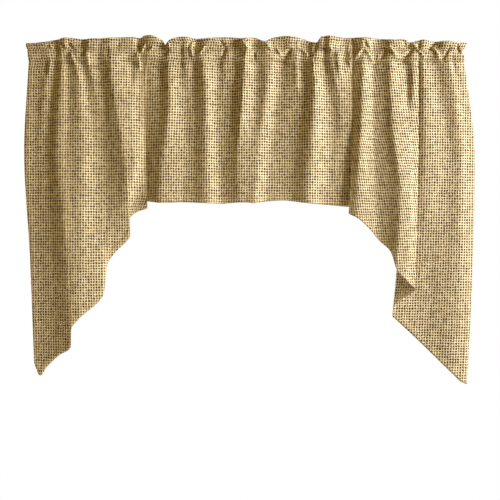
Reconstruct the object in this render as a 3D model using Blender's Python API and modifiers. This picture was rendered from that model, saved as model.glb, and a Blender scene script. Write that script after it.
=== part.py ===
"""Window swag: a left swag, a centre valance and a right swag of coarse tan cloth.

All three hang from one rod, which is not part of the object. The top of each
cut of cloth is turned over to the back and stitched twice, which makes a rod
pocket with a ruffle standing over it. The cloth hangs in soft uneven folds,
and one knife pleat falls down the right swag.

Units are metres, +Z is up and the front faces -Y. The origin is on the rod
pocket's centre line, near the middle of its length.
"""

from collections import namedtuple
import math

import bmesh
import bpy
from mathutils import Vector

MM = 0.001

# Driving sizes
CLOTH_THICKNESS = 2.0 * MM
SEAM_HEIGHT = -17.5 * MM
SEAM_GAP = 1.3 * MM
LAYER_OFFSET = 1.3 * MM
RUFFLE_REACH = 9.0 * MM
RUFFLE_REACH_WIDTH = 26.0 * MM
COLUMN_PITCH_HEADING = 10.0 * MM
SLOPE_SHARE = 0.004
CLOTH_ROUGHNESS = 0.92
COLLECTION_NAME = "window_swag"

# Heights at which the fold tables give a grain line, as shares of its drop
LEVELS = (0.0, 0.3, 0.65, 1.0)

# One row for each crest, trough or edge of a hanging panel, from left to right.
# share: cloth used up so far. x: sideways place. out: how far the cloth stands
# to the front. Both are given under the pocket, at two heights and at the hem.
# drop: how far the hem hangs under the rod's centre line. All in millimetres.
Fold = namedtuple(
    "Fold",
    "share x_top x_upper x_lower x_hem out_top out_upper out_lower out_hem drop",
)

LEFT_SWAG_FOLDS = (
    Fold(0, -606, -619, -604, -590, -2, 1, 1, 0, 847),
    Fold(14, -597, -608, -592, -575, -1, 2, 2, 1, 881),
    Fold(36, -573, -588, -573, -556, 0, 2, 3, 3, 858),
    Fold(66, -547, -574, -558, -535, 6, 3, 5, 6, 837),
    Fold(90, -528, -556, -541, -520, -1, 3, 7, 10, 824),
    Fold(116, -513, -521, -502, -487, 9, 16, 21, 22, 800),
    Fold(138, -495, -495, -482, -488, 4, 13, 22, 24, 754),
    Fold(162, -472, -463, -461, -466, 11, 17, 20, 21, 726),
    Fold(202, -456, -424, -412, -403, 6, 4, 1, 1, 656),
    Fold(222, -438, -408, -394, -396, 11, 4, 0, -3, 614),
    Fold(250, -412, -394, -380, -392, 4, 5, 2, -6, 578),
    Fold(280, -396, -377, -361, -377, 9, 11, 7, -11, 552),
    Fold(326, -382, -359, -336, -329, 16, 19, 17, -13, 497),
    Fold(378, -322, -326, -316, -336, -3, 8, 12, -14, 460),
    Fold(414, -292, -304, -299, -311, -5, -1, 2, -15, 432),
    Fold(446, -282.7, -286, -284, -281, -2, -5, -8, -12, 422),
)

CENTRE_VALANCE_FOLDS = (
    Fold(0, -281.2, -292, -296, -298, -10, -12, -17, -21, 402),
    Fold(20, -264, -271, -275, -280, -3, -7, -13, -17, 402),
    Fold(46, -238, -240, -248, -262, -8, -1, -2, -4, 404),
    Fold(76, -220, -216, -224, -238, 6, 9, 9, 7, 407),
    Fold(110, -187, -190, -192, -200, -3, -1, 0, 0, 406),
    Fold(128, -172, -172, -174, -180, 1, -5, -4, -3, 405),
    Fold(150, -150, -153, -154, -158, -7, -5, -3, -2, 406),
    Fold(184, -126, -119, -118, -118, 7, 8, 7, 6, 408),
    Fold(228, -81, -87, -79, -76, -7, -7, -8, -9, 409),
    Fold(246, -66, -64, -62, -62, -1, -8, -6, -7, 408),
    Fold(268, -32, -38, -46, -46, -7, -9, -2, -3, 407),
    Fold(300, -11, -20, -28, -26, 6, 8, 5, 3, 406),
    Fold(338, 22, 19, 3, -5, -6, -5, 4, 4, 406),
    Fold(362, 54, 42, 20, 11, 2, 0, 4, 5, 408),
    Fold(414, 92, 82, 66, 52, -10, -13, -10, -9, 402),
    Fold(444, 119, 126, 101, 97, -2, -8, -10, -10, 400),
    Fold(472, 160, 150, 124, 118, -10, -8, -8, -8, 402),
    Fold(512, 181, 178, 170, 160, 7, 9, 9, 6, 408),
    Fold(558, 209, 223, 229, 214, -5, -7, -9, -10, 412),
    Fold(580, 222, 252, 252, 243, 6, -1, -9, -12, 415),
    Fold(616, 266, 275, 276, 272, -1, -3, -13, -17, 417),
    Fold(640, 285.1, 292, 297, 297, -9, -11, -18, -21, 418),
)

RIGHT_SWAG_FOLDS = (
    Fold(0, 285.9, 287, 280, 273, -5, -6, -2, 3, 437),
    Fold(26, 309, 305, 297, 296, 6, 7, 9, 9, 449),
    Fold(58, 326, 324, 325, 332, -1, 0, 2, 2, 482),
    Fold(90, 344, 344, 352, 359, -8, -8, -4, -2, 510),
    Fold(110, 370, 374, 384, 388, -3, -3, 3, 6, 541),
    Fold(136, 387, 395, 416, 404, 4, 7, 16, 14, 592),
    Fold(178, 428, 438, 440, 428, -7, -3, 9, 11, 619),
    Fold(200, 449, 452, 451, 444, 0, -6, 3, 7, 635),
    Fold(222, 465, 467, 461, 455, -6, -11, -2, 3, 646),
    Fold(274, 461, 450, 420, 399, -13, -17, -13, -9, 695),
    Fold(288, 464, 452, 421, 397, -19, -23, -18, -14, 720),
    Fold(356, 479, 488, 480, 461, -5, -6, -14, -18, 780),
    Fold(424, 509, 545, 533, 516, -12, -12, -11, -16, 834),
    Fold(472, 545, 575, 574, 558, -4, -9, -8, -13, 877),
    Fold(502, 571, 593, 601, 585, -8, -13, -11, -15, 901),
    Fold(524, 593, 619, 613, 600, -11, -18, -14, -17, 907),
)

# One row for each bump or notch of the ruffle's top edge, from left to right.
# x: sideways place. rise: the edge's height over the rod's centre line.
# out: how far the ruffle stands to the front there. All in millimetres.
Ruffle = namedtuple("Ruffle", "x rise out")

RUFFLES = (
    Ruffle(-614, 31, 0),
    Ruffle(-573, 34, 2),
    Ruffle(-540, 40, -4),
    Ruffle(-501, 46, 4),
    Ruffle(-460, 43, -4),
    Ruffle(-419, 46, 3),
    Ruffle(-366, 49, -3),
    Ruffle(-322, 48, 4),
    Ruffle(-298, 47, -4),
    Ruffle(-278, 54, 2),
    Ruffle(-251, 46, 4),
    Ruffle(-232, 29, -5),
    Ruffle(-218, 41, 1),
    Ruffle(-185, 49, 4),
    Ruffle(-135, 45, -4),
    Ruffle(-94, 47, 4),
    Ruffle(-50, 49, -3),
    Ruffle(-17, 45, 3),
    Ruffle(13, 48, -3),
    Ruffle(43, 37, 4),
    Ruffle(63, 47, -3),
    Ruffle(98, 52, 4),
    Ruffle(145, 46, -4),
    Ruffle(184, 34, -5),
    Ruffle(199, 50, 3),
    Ruffle(217, 52, 4),
    Ruffle(263, 47, -4),
    Ruffle(321, 49, 3),
    Ruffle(360, 45, -4),
    Ruffle(401, 39, 3),
    Ruffle(428, 43, 4),
    Ruffle(442, 36, -4),
    Ruffle(478, 40, 3),
    Ruffle(514, 36, -4),
    Ruffle(538, 37, 2),
    Ruffle(602, 32, 0),
)

# One row for each step round the heading, from the front of the lower seam up
# over the top edge and down the back to the seam again.
# height: over the rod's centre line, in millimetres, to which rise_share of
# the ruffle's rise is added. depth: to the back of the gathers' middle line,
# in millimetres. fold: share of the panel's folds that the step takes up.
# ruffle: share of the ruffle's own waves.
Turn = namedtuple("Turn", "height rise_share depth fold ruffle")

HEADING_TURNS = (
    Turn(-17.5, 0.00, -1.3, 1.00, 0.0),
    Turn(-12.5, 0.00, -13.0, 0.50, 0.0),
    Turn(-1.0, 0.00, -17.0, 0.30, 0.0),
    Turn(11.0, 0.00, -13.0, 0.25, 0.2),
    Turn(16.5, 0.00, -1.3, 0.50, 0.5),
    Turn(6.0, 0.55, -5.5, 0.60, 1.0),
    Turn(0.0, 1.00, 0.0, 0.60, 1.2),
    Turn(6.0, 0.55, 5.5, 0.60, 1.0),
    Turn(16.5, 0.00, 1.3, 0.50, 0.5),
    Turn(11.0, 0.00, 12.0, 0.15, 0.2),
    Turn(-1.0, 0.00, 15.0, 0.10, 0.0),
    Turn(-12.5, 0.00, 12.0, 0.30, 0.0),
    Turn(-17.5, 0.00, 1.3, 1.00, 0.0),
)

Panel = namedtuple("Panel", "name heading_name folds columns rows tint")

PANELS = (
    Panel("left_swag", "left_heading", LEFT_SWAG_FOLDS, 42, 13, (0.56, 0.42, 0.24)),
    Panel("centre_valance", "centre_heading", CENTRE_VALANCE_FOLDS, 60, 8, (0.6, 0.46, 0.27)),
    Panel("right_swag", "right_heading", RIGHT_SWAG_FOLDS, 50, 13, (0.63, 0.49, 0.29)),
)


def key_slopes(places, values, level_ends):
    """Slopes that let a curve pass its keys without swinging past them."""
    steps = [b - a for a, b in zip(places, places[1:])]
    rates = [(b - a) / step for a, b, step in zip(values, values[1:], steps)]
    slopes = [rates[0]]
    for i in range(1, len(rates)):
        before, after = rates[i - 1], rates[i]
        if before * after <= 0.0:
            slopes.append(0.0)
            continue
        weight_before = 2.0 * steps[i] + steps[i - 1]
        weight_after = steps[i] + 2.0 * steps[i - 1]
        total = weight_before + weight_after
        slopes.append(total / (weight_before / before + weight_after / after))
    slopes.append(rates[-1])
    if level_ends:
        slopes[0] = 0.0
        slopes[-1] = 0.0
    return slopes


def smooth_curve(places, values, level_ends=False):
    """A smooth function of place through the keys."""
    slopes = key_slopes(places, values, level_ends)

    def value_at(place):
        i = 0
        while i < len(places) - 2 and place > places[i + 1]:
            i += 1
        step = places[i + 1] - places[i]
        t = min(max((place - places[i]) / step, 0.0), 1.0)
        rise = t * t * (3.0 - 2.0 * t)
        start_bend = t * (1.0 - t) * (1.0 - t) * step
        end_bend = t * t * (t - 1.0) * step
        return (
            values[i] * (1.0 - rise)
            + values[i + 1] * rise
            + slopes[i] * start_bend
            + slopes[i + 1] * end_bend
        )

    return value_at


def table_curve(rows, place_column, value_column, level_ends=False):
    """The smooth curve of one column of a table against another."""
    places = [getattr(row, place_column) for row in rows]
    values = [getattr(row, value_column) * MM for row in rows]
    return smooth_curve(places, values, level_ends)


def level_curves(folds, kind):
    """The curves of x or out against the share of cloth, one for each level."""
    level_ends = kind == "out"
    return [
        table_curve(folds, "share", kind + level, level_ends)
        for level in ("_top", "_upper", "_lower", "_hem")
    ]


def panel_surface(folds):
    """A function that gives the hanging cloth's middle surface."""
    x_curves = level_curves(folds, "x")
    out_curves = level_curves(folds, "out")
    drop_curve = table_curve(folds, "share", "drop")
    top = SEAM_HEIGHT - SEAM_GAP

    def point_at(share, down):
        x = smooth_curve(LEVELS, [curve(share) for curve in x_curves])(down)
        out = smooth_curve(LEVELS, [curve(share) for curve in out_curves])(down)
        height = top + (-drop_curve(share) - top) * down
        return Vector((x, -out - LAYER_OFFSET, height))

    return point_at


def heading_surface(folds):
    """A function that gives the turned-over heading's middle surface."""
    x_curve = table_curve(folds, "share", "x_top")
    fold_curve = table_curve(folds, "share", "out_top", level_ends=True)
    rise_curve = table_curve(RUFFLES, "x", "rise")
    ruffle_curve = table_curve(RUFFLES, "x", "out")
    first = RUFFLES[0].x * MM
    last = RUFFLES[-1].x * MM
    width = folds[-1].share

    def middle_line(share, turn):
        x = x_curve(share)
        near_left = max(0.0, 1.0 - (x - first) / RUFFLE_REACH_WIDTH)
        near_right = max(0.0, 1.0 - (last - x) / RUFFLE_REACH_WIDTH)
        reach = RUFFLE_REACH * turn.ruffle * (near_right ** 2 - near_left ** 2)
        waves = ruffle_curve(x / MM)
        return Vector((x + reach, -turn.fold * fold_curve(share) - turn.ruffle * waves, 0.0))

    def point_at(share, turn):
        x = x_curve(share)
        step = SLOPE_SHARE * width
        ahead = middle_line(min(share + step, width), turn)
        behind = middle_line(max(share - step, 0.0), turn)
        along = (ahead - behind).normalized()
        across = Vector((-along.y, along.x, 0.0))
        depth = turn.depth * MM
        close = min(max(depth, -LAYER_OFFSET), LAYER_OFFSET)
        point = middle_line(share, turn) + across * close
        point.y += depth - close
        point.z = turn.height * MM + turn.rise_share * rise_curve(x / MM)
        return point

    return point_at


def sheet_object(name, columns, rows, place, tint):
    """A grid laid on a surface and thickened to the cloth's own thickness."""
    bm = bmesh.new()
    bmesh.ops.create_grid(bm, x_segments=columns, y_segments=rows, size=0.5)
    for vert in bm.verts:
        vert.co = place(vert.co.x + 0.5, 0.5 - vert.co.y)
    mesh = bpy.data.meshes.new(name)
    bm.to_mesh(mesh)
    bm.free()
    mesh.shade_smooth()
    mesh.materials.append(cloth_material(name, tint))
    sheet = bpy.data.objects.new(name, mesh)
    bpy.data.collections[COLLECTION_NAME].objects.link(sheet)
    solidify = sheet.modifiers.new("cloth thickness", "SOLIDIFY")
    solidify.thickness = CLOTH_THICKNESS
    solidify.offset = 0.0
    return sheet


def cloth_material(name, tint):
    """Matt tan cloth."""
    material = bpy.data.materials.new(name + "_cloth")
    material.use_nodes = True
    shader = material.node_tree.nodes["Principled BSDF"]
    shader.inputs["Base Color"].default_value = (*tint, 1.0)
    shader.inputs["Roughness"].default_value = CLOTH_ROUGHNESS
    shader.inputs["Metallic"].default_value = 0.0
    return material


def hanging_panel(panel):
    """The cloth of one panel from the pocket's lower seam down to its hem."""
    surface = panel_surface(panel.folds)
    width = panel.folds[-1].share

    def place(across, down):
        return surface(across * width, down)

    return sheet_object(panel.name, panel.columns, panel.rows, place, panel.tint)


def heading(panel):
    """The turned-over top of one panel: rod pocket below, ruffle above."""
    surface = heading_surface(panel.folds)
    width = panel.folds[-1].share
    turns = HEADING_TURNS
    span = (panel.folds[-1].x_top - panel.folds[0].x_top) * MM
    columns = math.ceil(span / COLUMN_PITCH_HEADING)

    def place(across, down):
        return surface(across * width, turns[round(down * (len(turns) - 1))])

    return sheet_object(
        panel.heading_name, columns, len(turns) - 1, place, panel.tint
    )


def clear_scene():
    for thing in list(bpy.data.objects):
        bpy.data.objects.remove(thing, do_unlink=True)


def main():
    clear_scene()
    collection = bpy.data.collections.new(COLLECTION_NAME)
    bpy.context.scene.collection.children.link(collection)
    for panel in PANELS:
        hanging_panel(panel)
        heading(panel)


main()
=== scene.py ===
"""Looks of the window swag: two swags and a centre valance of coarse tan cloth.

Run it as a script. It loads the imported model, hangs a finely folded sheet of
basket-weave cloth on each panel's solids, sews on the stitches and sets up the
stage. Lengths are metres, +Z is up and the front faces -Y.
"""

from collections import namedtuple
import math

import bmesh
import bpy
import numpy as np
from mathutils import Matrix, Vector, noise


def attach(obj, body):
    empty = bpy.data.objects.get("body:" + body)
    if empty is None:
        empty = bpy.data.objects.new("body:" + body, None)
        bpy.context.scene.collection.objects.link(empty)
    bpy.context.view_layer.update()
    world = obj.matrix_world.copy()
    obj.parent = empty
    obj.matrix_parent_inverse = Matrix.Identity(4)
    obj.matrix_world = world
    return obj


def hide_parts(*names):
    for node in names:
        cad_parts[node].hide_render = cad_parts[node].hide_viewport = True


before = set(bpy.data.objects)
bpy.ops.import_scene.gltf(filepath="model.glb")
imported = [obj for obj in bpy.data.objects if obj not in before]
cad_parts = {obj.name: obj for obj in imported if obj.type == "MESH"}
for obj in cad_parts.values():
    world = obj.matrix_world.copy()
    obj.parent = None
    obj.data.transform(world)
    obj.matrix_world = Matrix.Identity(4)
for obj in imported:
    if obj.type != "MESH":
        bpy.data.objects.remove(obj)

bl_info = {
    "name": "Window Swag Looks",
    "version": (1, 0, 0),
    "blender": (4, 5, 0),
    "location": "View3D > Sidebar > Window Swag",
    "description": "Hangs folded basket-weave cloth on the window swag's solids",
    "category": "Object",
}

MM = 0.001

# The photograph's frame: its width in pixels, how much of the rod one pixel
# covers, and the pixels on which the frame's middle and the rod's origin lie
PHOTO_WIDTH_PX = 500
PHOTO_METRES_PER_PX = 0.00275
PHOTO_MIDDLE_PX = (250.0, 250.0)
PHOTO_ORIGIN_PX = (249.25, 55.0)

# Heights at which the fold tables give a grain line, as shares of its drop
LEVELS = (0.0, 0.3, 0.65, 1.0)


def rows_of(kind, rows):
    """A table whose rows are all of one kind."""
    return tuple(kind(*row) for row in rows)


# One row for each crest, trough or edge of a hanging panel, from left to right.
# share: cloth used up so far. x: sideways place. out: how far the cloth stands
# to the front. Both are given under the pocket, at two heights and at the hem.
# drop: how far the hem hangs under the rod's centre line. All in millimetres.
Fold = namedtuple(
    "Fold",
    "share x_top x_upper x_lower x_hem out_top out_upper out_lower out_hem drop",
)

LEFT_SWAG_FOLDS = rows_of(Fold, (
    (0, -606, -618, -602, -591, -2, 1, 1, 0, 847),
    (14, -597, -608, -592, -575, -1, 2, 2, 1, 881),
    (36, -573, -588, -573, -556, 0, 2, 3, 3, 858),
    (66, -547, -574, -558, -535, 6, 3, 5, 6, 837),
    (90, -528, -556, -541, -520, -1, 3, 7, 10, 824),
    (116, -513, -521, -502, -487, 9, 16, 21, 22, 800),
    (138, -495, -495, -482, -486, 4, 13, 21, 22, 754),
    (162, -472, -463, -461, -466, 11, 16, 20, 21, 726),
    (202, -456, -424, -412, -400, 6, 5, 3, 4, 656),
    (222, -438, -408, -394, -396, 11, 4, 0, -3, 614),
    (250, -412, -394, -380, -392, 4, 5, 2, -6, 578),
    (280, -396, -377, -361, -377, 9, 11, 6, -11, 552),
    (326, -382, -359, -336, -329, 15, 17, 15, -9, 497),
    (378, -322, -326, -316, -336, -3, 10, 13, -11, 460),
    (414, -292, -304, -299, -311, -5, -1, 2, -15, 432),
    (446, -282.7, -286, -284, -281, -2, -5, -8, -12, 422),
))

CENTRE_VALANCE_FOLDS = rows_of(Fold, (
    (0, -282.3, -292, -296, -298, -4, -10, -17, -21, 402),
    (20, -264, -271, -279, -284, -3, -6, -11, -15, 402),
    (46, -238, -242, -257, -268, -8, -1, -1, -4, 404),
    (76, -220, -218, -233, -244, 6, 9, 8, 6, 407),
    (110, -187, -190, -192, -200, -3, -1, 0, 0, 406),
    (128, -172, -172, -174, -180, 1, -5, -4, -3, 405),
    (150, -150, -153, -154, -158, -7, -5, -3, -2, 406),
    (184, -126, -119, -118, -118, 7, 8, 7, 6, 408),
    (228, -81, -87, -79, -76, -7, -7, -8, -9, 409),
    (246, -66, -64, -62, -62, -1, -8, -6, -7, 408),
    (268, -32, -38, -46, -46, -7, -9, -2, -3, 407),
    (300, -11, -20, -28, -26, 6, 8, 5, 3, 406),
    (338, 22, 19, 3, -5, -6, -5, 4, 4, 406),
    (362, 54, 42, 20, 11, 2, 0, 4, 5, 408),
    (414, 92, 82, 66, 52, -10, -13, -10, -9, 402),
    (444, 119, 126, 101, 97, -2, -8, -10, -10, 400),
    (472, 160, 150, 124, 118, -10, -8, -8, -8, 402),
    (512, 181, 178, 170, 160, 7, 9, 9, 6, 408),
    (558, 209, 223, 229, 214, -5, -7, -9, -10, 412),
    (580, 222, 252, 252, 243, 6, -1, -9, -12, 415),
    (616, 266, 275, 276, 272, -1, -3, -13, -17, 417),
    (640, 285.5, 292, 297, 297, -6.5, -10, -18, -21, 418),
))

RIGHT_SWAG_FOLDS = rows_of(Fold, (
    (0, 285.9, 287, 280, 273, -5, -6, -2, 3, 437),
    (26, 312, 309, 301, 297, 6, 7, 9, 9, 449),
    (58, 331, 330, 331, 334, -1, 0, 1, 2, 482),
    (90, 344, 344, 350, 357, -8, -8, -4, -2, 510),
    (110, 370, 374, 384, 388, -3, -3, 3, 6, 541),
    (136, 387, 395, 416, 404, 4, 7, 16, 17, 592),
    (178, 428, 438, 440, 428, -7, -2, 12, 15, 619),
    (200, 449, 452, 451, 444, 0, -6, 3, 11, 635),
    (222, 465, 467, 461, 455, -6, -11, -2, 8, 646),
    (274, 461, 450, 420, 399, -13, -17, -14, -15, 695),
    (288, 464, 452, 421, 397, -19, -21.5, -18.5, -20, 720),
    (300, 465, 456, 428, 402, -17, -19, -18, -21, 725),
    (356, 479, 488, 480, 461, -5, -6, -15, -23, 780),
    (424, 511, 548, 535, 516, -12, -12, -11, -19, 834),
    (472, 552, 583, 580, 560, -4, -8, -7, -13, 877),
    (502, 575, 601, 605, 586, -8, -13, -11, -15, 901),
    (524, 593, 623, 616, 601, -11, -18, -14, -17, 907),
))

# One row for each bump or notch of the ruffle's top edge, from left to right.
# x: sideways place. rise: the edge's height over the rod's centre line.
# out: how far the ruffle stands to the front there. All in millimetres.
Ruffle = namedtuple("Ruffle", "x rise out")

RUFFLES = rows_of(Ruffle, (
    (-614, 31, 0),
    (-573, 34, 2),
    (-540, 40, -4),
    (-501, 46, 4),
    (-460, 43, -4),
    (-419, 44, 3),
    (-366, 47, -3),
    (-322, 48, 4),
    (-300, 47, -4),
    (-290, 53, -1),
    (-272, 54, 3),
    (-253, 47, 4),
    (-241, 43, 0),
    (-231, 29, -5),
    (-218, 41, 1),
    (-185, 49, 4),
    (-135, 45, -4),
    (-94, 47, 4),
    (-50, 49, -3),
    (-17, 45, 3),
    (13, 48, -3),
    (43, 37, 4),
    (63, 47, -3),
    (98, 52, 4),
    (145, 46, -4),
    (184, 34, -5),
    (199, 50, 3),
    (217, 52, 4),
    (263, 47, -4),
    (321, 47, 3),
    (360, 45, -4),
    (401, 41, 3),
    (428, 44, 4),
    (443, 35, -4),
    (478, 42, 3),
    (514, 38, -4),
    (538, 39, 2),
    (602, 32, 0),
))

# One row for each step round the heading, from the front of the lower seam up
# over the top edge and down the back to the seam again.
# height: over the rod's centre line, in millimetres, to which rise_share of
# the ruffle's rise is added. depth: to the back of the gathers' middle line,
# in millimetres. fold: share of the panel's folds that the step takes up.
# ruffle: share of the ruffle's own waves.
Turn = namedtuple("Turn", "height rise_share depth fold ruffle")

HEADING_TURNS = rows_of(Turn, (
    (-17.5, 0.00, -2.2, 1.00, 0.0),
    (-11.0, 0.00, -8.0, 0.85, 0.0),
    (-1.0, 0.00, -11.5, 0.65, 0.1),
    (8.5, 0.00, -8.5, 0.55, 0.3),
    (16.5, 0.00, -3.0, 0.60, 0.6),
    (6.0, 0.55, -3.5, 0.60, 1.0),
    (0.0, 1.00, 0.0, 0.60, 1.2),
    (6.0, 0.55, 5.5, 0.60, 1.0),
    (16.5, 0.00, 1.3, 0.50, 0.5),
    (11.0, 0.00, 12.0, 0.15, 0.2),
    (-1.0, 0.00, 15.0, 0.10, 0.0),
    (-12.5, 0.00, 12.0, 0.30, 0.0),
    (-17.5, 0.00, 1.3, 1.00, 0.0),
))

# One row for each crease that the gathers leave near the top, in millimetres.
# x: place at its upper end. top, foot: heights of its two ends over the rod's
# centre line. depth: how far it sinks in, or stands out where negative.
# width: half its width. lean: how far its foot is shifted sideways.
Crease = namedtuple("Crease", "x top foot depth width lean")

CREASES = rows_of(Crease, (
    (-556, -4, -60, 3.0, 5, -3),
    (-548, 30, 11, -2.4, 3.5, 11),
    (-520, 38, 9, 3.4, 4, 16),
    (-498, 35, 12, 3.4, 4, 16),
    (-490, 8, -36, -3.4, 4, 16),
    (-444, 19, -36, -3.6, 4.5, 3),
    (-441, 43, 17, -2.6, 3.5, -2),
    (-388, 28, -46, 1.8, 4.5, 3),
    (-358, 38, 6, 1.8, 4, -3),
    (-322, 2, -98, 1.6, 8, -3),
    (-309, 49, 12, 2.6, 4, 3),
    (-287, 32, 1, -3.4, 4, -11),
    (-308, 10, -44, -3.6, 4.5, 8),
    (-262, 27, 4, -2.2, 3.2, -14),
    (-229, 40, 15, -3.2, 4, 11),
    (-221, 16, -5, 3.0, 4, -11),
    (-188, 38, -44, 1.8, 4, 3),
    (-152, 41, 9, -3.8, 4.5, -11),
    (-163, 21, -24, -4.4, 4.5, 17),
    (-119, 30, 1, -2.4, 3.2, -16),
    (-135, 8, -22, -2.4, 3.2, -3),
    (-78, 41, 15, 3.8, 4, 14),
    (-64, 27, -28, 4.4, 4.5, -14),
    (-42, 13, -8, 2.0, 3.2, -3),
    (-40, 6, -50, 2.0, 5, 4),
    (-23, 43, 15, -3.8, 4, 20),
    (-3, 24, -24, -3.6, 4.5, -11),
    (13, 10, -20, 2.6, 3.2, 3),
    (46, 35, 6, -3.4, 4, 17),
    (74, 21, -8, -2.2, 3.2, 16),
    (115, 21, -27, 4.8, 6, -22),
    (131, 41, 12, -2.6, 4, 6),
    (129, 14, -110, -3.2, 7, 4),
    (140, 24, -14, -3.6, 4.5, 27),
    (173, 0, -64, -3.0, 3.5, 2),
    (184, 35, -3, 3.4, 4, -6),
    (206, 19, -24, 3.8, 4.5, 11),
    (217, 32, 4, -2.8, 3.5, 11),
    (211, 2, -48, 2.0, 6, 8),
    (240, 16, -60, -3.8, 6, 10),
    (263, 28, -36, 2.8, 5, 3),
    (277, 10, -45, -2.4, 4, 2),
    (285, 35, 1, 2.4, 4, 3),
    (310, 21, -18, -4.0, 4.5, -22),
    (316, 41, 17, 3.2, 4, 8),
    (324, 35, 9, -2.2, 3.2, 14),
    (316, 16, -27, -3.4, 4.5, 30),
    (382, 24, -20, 3.8, 6, -22),
    (382, 27, -14, -3.4, 4.5, 24),
    (426, 43, 15, 3.2, 4, 5),
    (450, 21, -26, 4.4, 6, -30),
    (445, 38, -14, -3.4, 4, 38),
    (440, -14, -150, 3.4, 9, -3),
    (470, 35, 9, 2.6, 3.5, -9),
    (513, 38, 4, 4.2, 5, -24),
    (505, 27, -22, -3.8, 5, 22),
    (552, 24, -17, 2.8, 4, -22),
    (558, 10, -60, 2.0, 6, 8),
    (571, 32, -2, 3.2, 4, 6),
))


class SwagSizes(bpy.types.PropertyGroup):
    """Sizes of the cloth, its weave and its sewing."""

    thickness: bpy.props.FloatProperty(
        name="Cloth Thickness",
        description="Thickness of one layer of cloth",
        default=1.5 * MM, min=0.5 * MM, max=3.0 * MM, unit="LENGTH", precision=4,
    )
    hem_thickness: bpy.props.FloatProperty(
        name="Hem Thickness",
        description="Thickness of the turned hems",
        default=2.6 * MM, min=0.5 * MM, max=5.0 * MM, unit="LENGTH", precision=4,
    )
    hem_depth: bpy.props.FloatProperty(
        name="Hem Depth",
        description="How far the turned hems reach in from the edge",
        default=14.0 * MM, min=5.0 * MM, max=40.0 * MM, unit="LENGTH", precision=4,
    )
    mesh_step: bpy.props.FloatProperty(
        name="Mesh Step",
        description="Distance between the points of the cloth's mesh, across it",
        default=2.9 * MM, min=2.0 * MM, max=20.0 * MM, unit="LENGTH", precision=4,
    )
    gather_strength: bpy.props.FloatProperty(
        name="Gather Strength",
        description="How strongly the creases near the top are pressed in",
        default=1.8, min=0.0, max=3.0,
    )
    wrinkle_depth: bpy.props.FloatProperty(
        name="Wrinkle Depth",
        description="Depth of the small uneven wrinkles over the whole cloth",
        default=0.9 * MM, min=0.0, max=4.0 * MM, unit="LENGTH", precision=4,
    )
    stitch_length: bpy.props.FloatProperty(
        name="Stitch Length",
        description="Length of one stitch",
        default=3.4 * MM, min=1.0 * MM, max=10.0 * MM, unit="LENGTH", precision=4,
    )
    stitch_pitch: bpy.props.FloatProperty(
        name="Stitch Pitch",
        description="Distance from one stitch to the next",
        default=4.8 * MM, min=1.5 * MM, max=15.0 * MM, unit="LENGTH", precision=4,
    )
    thread_width: bpy.props.FloatProperty(
        name="Thread Width",
        description="Width of the sewing thread",
        default=0.8 * MM, min=0.2 * MM, max=2.0 * MM, unit="LENGTH", precision=4,
    )
    weave_across: bpy.props.FloatProperty(
        name="Weave Pitch Across",
        description="Distance between two warp gaps",
        default=7.0 * MM, min=1.0 * MM, max=20.0 * MM, unit="LENGTH", precision=4,
    )
    weave_down: bpy.props.FloatProperty(
        name="Weave Pitch Down",
        description="Distance between two weft gaps",
        default=7.4 * MM, min=1.0 * MM, max=20.0 * MM, unit="LENGTH", precision=4,
    )
    depth_stretch: bpy.props.FloatProperty(
        name="Weave On Flanks",
        description="How much of a fold's depth counts in the weave's spacing",
        default=0.3, min=0.0, max=1.0, subtype="FACTOR",
    )


class SwagColours(bpy.types.PropertyGroup):
    """Colours of the yarn, the gaps and the thread."""

    yarn: bpy.props.FloatVectorProperty(
        name="Yarn",
        description="Main colour of the yarn",
        subtype="COLOR", size=4, min=0.0, max=1.0, default=(0.71, 0.46, 0.088, 1.0),
    )
    # Painted highlight: this paler colour is laid on the yarns' crowns
    crown_highlight: bpy.props.FloatVectorProperty(
        name="Pale Yarn",
        description="Colour of the yarns' crowns",
        subtype="COLOR", size=4, min=0.0, max=1.0, default=(0.99, 0.85, 0.49, 1.0),
    )
    # Colour of dark yarns, also laid as painted shade in hollows and between thread plies
    dark_yarn_and_shade: bpy.props.FloatVectorProperty(
        name="Deep Yarn",
        description="Colour of dark yarns and hollows",
        subtype="COLOR", size=4, min=0.0, max=1.0, default=(0.37, 0.195, 0.01, 1.0),
    )
    # Painted shade: this near-black colour is laid down between the yarns
    gap: bpy.props.FloatVectorProperty(
        name="Gap",
        description="Colour down between the yarns",
        subtype="COLOR", size=4, min=0.0, max=1.0, default=(0.02, 0.006, 0.0005, 1.0),
    )
    thread: bpy.props.FloatVectorProperty(
        name="Thread",
        description="Colour of the sewing thread",
        subtype="COLOR", size=4, min=0.0, max=1.0, default=(0.62, 0.46, 0.24, 1.0),
    )
    floor: bpy.props.FloatVectorProperty(
        name="Floor",
        description="Colour of the floor and backdrop",
        subtype="COLOR", size=4, min=0.0, max=1.0, default=(0.84, 0.90, 1.0, 1.0),
    )


def key_slopes(places, values, level_ends):
    """Slopes that let curves pass their keys without swinging past them."""
    steps = np.diff(places)[:, None]
    rates = np.diff(values, axis=0) / steps
    slopes = np.empty_like(values)
    slopes[0] = 0.0 if level_ends else rates[0]
    slopes[-1] = 0.0 if level_ends else rates[-1]
    before, after = rates[:-1], rates[1:]
    onward = before * after > 0.0
    weight_before = 2.0 * steps[1:] + steps[:-1]
    weight_after = steps[1:] + 2.0 * steps[:-1]
    safe_before = np.where(onward, before, 1.0)
    safe_after = np.where(onward, after, 1.0)
    mean = (weight_before + weight_after) / (
        weight_before / safe_before + weight_after / safe_after
    )
    slopes[1:-1] = np.where(onward, mean, 0.0)
    return slopes


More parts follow.
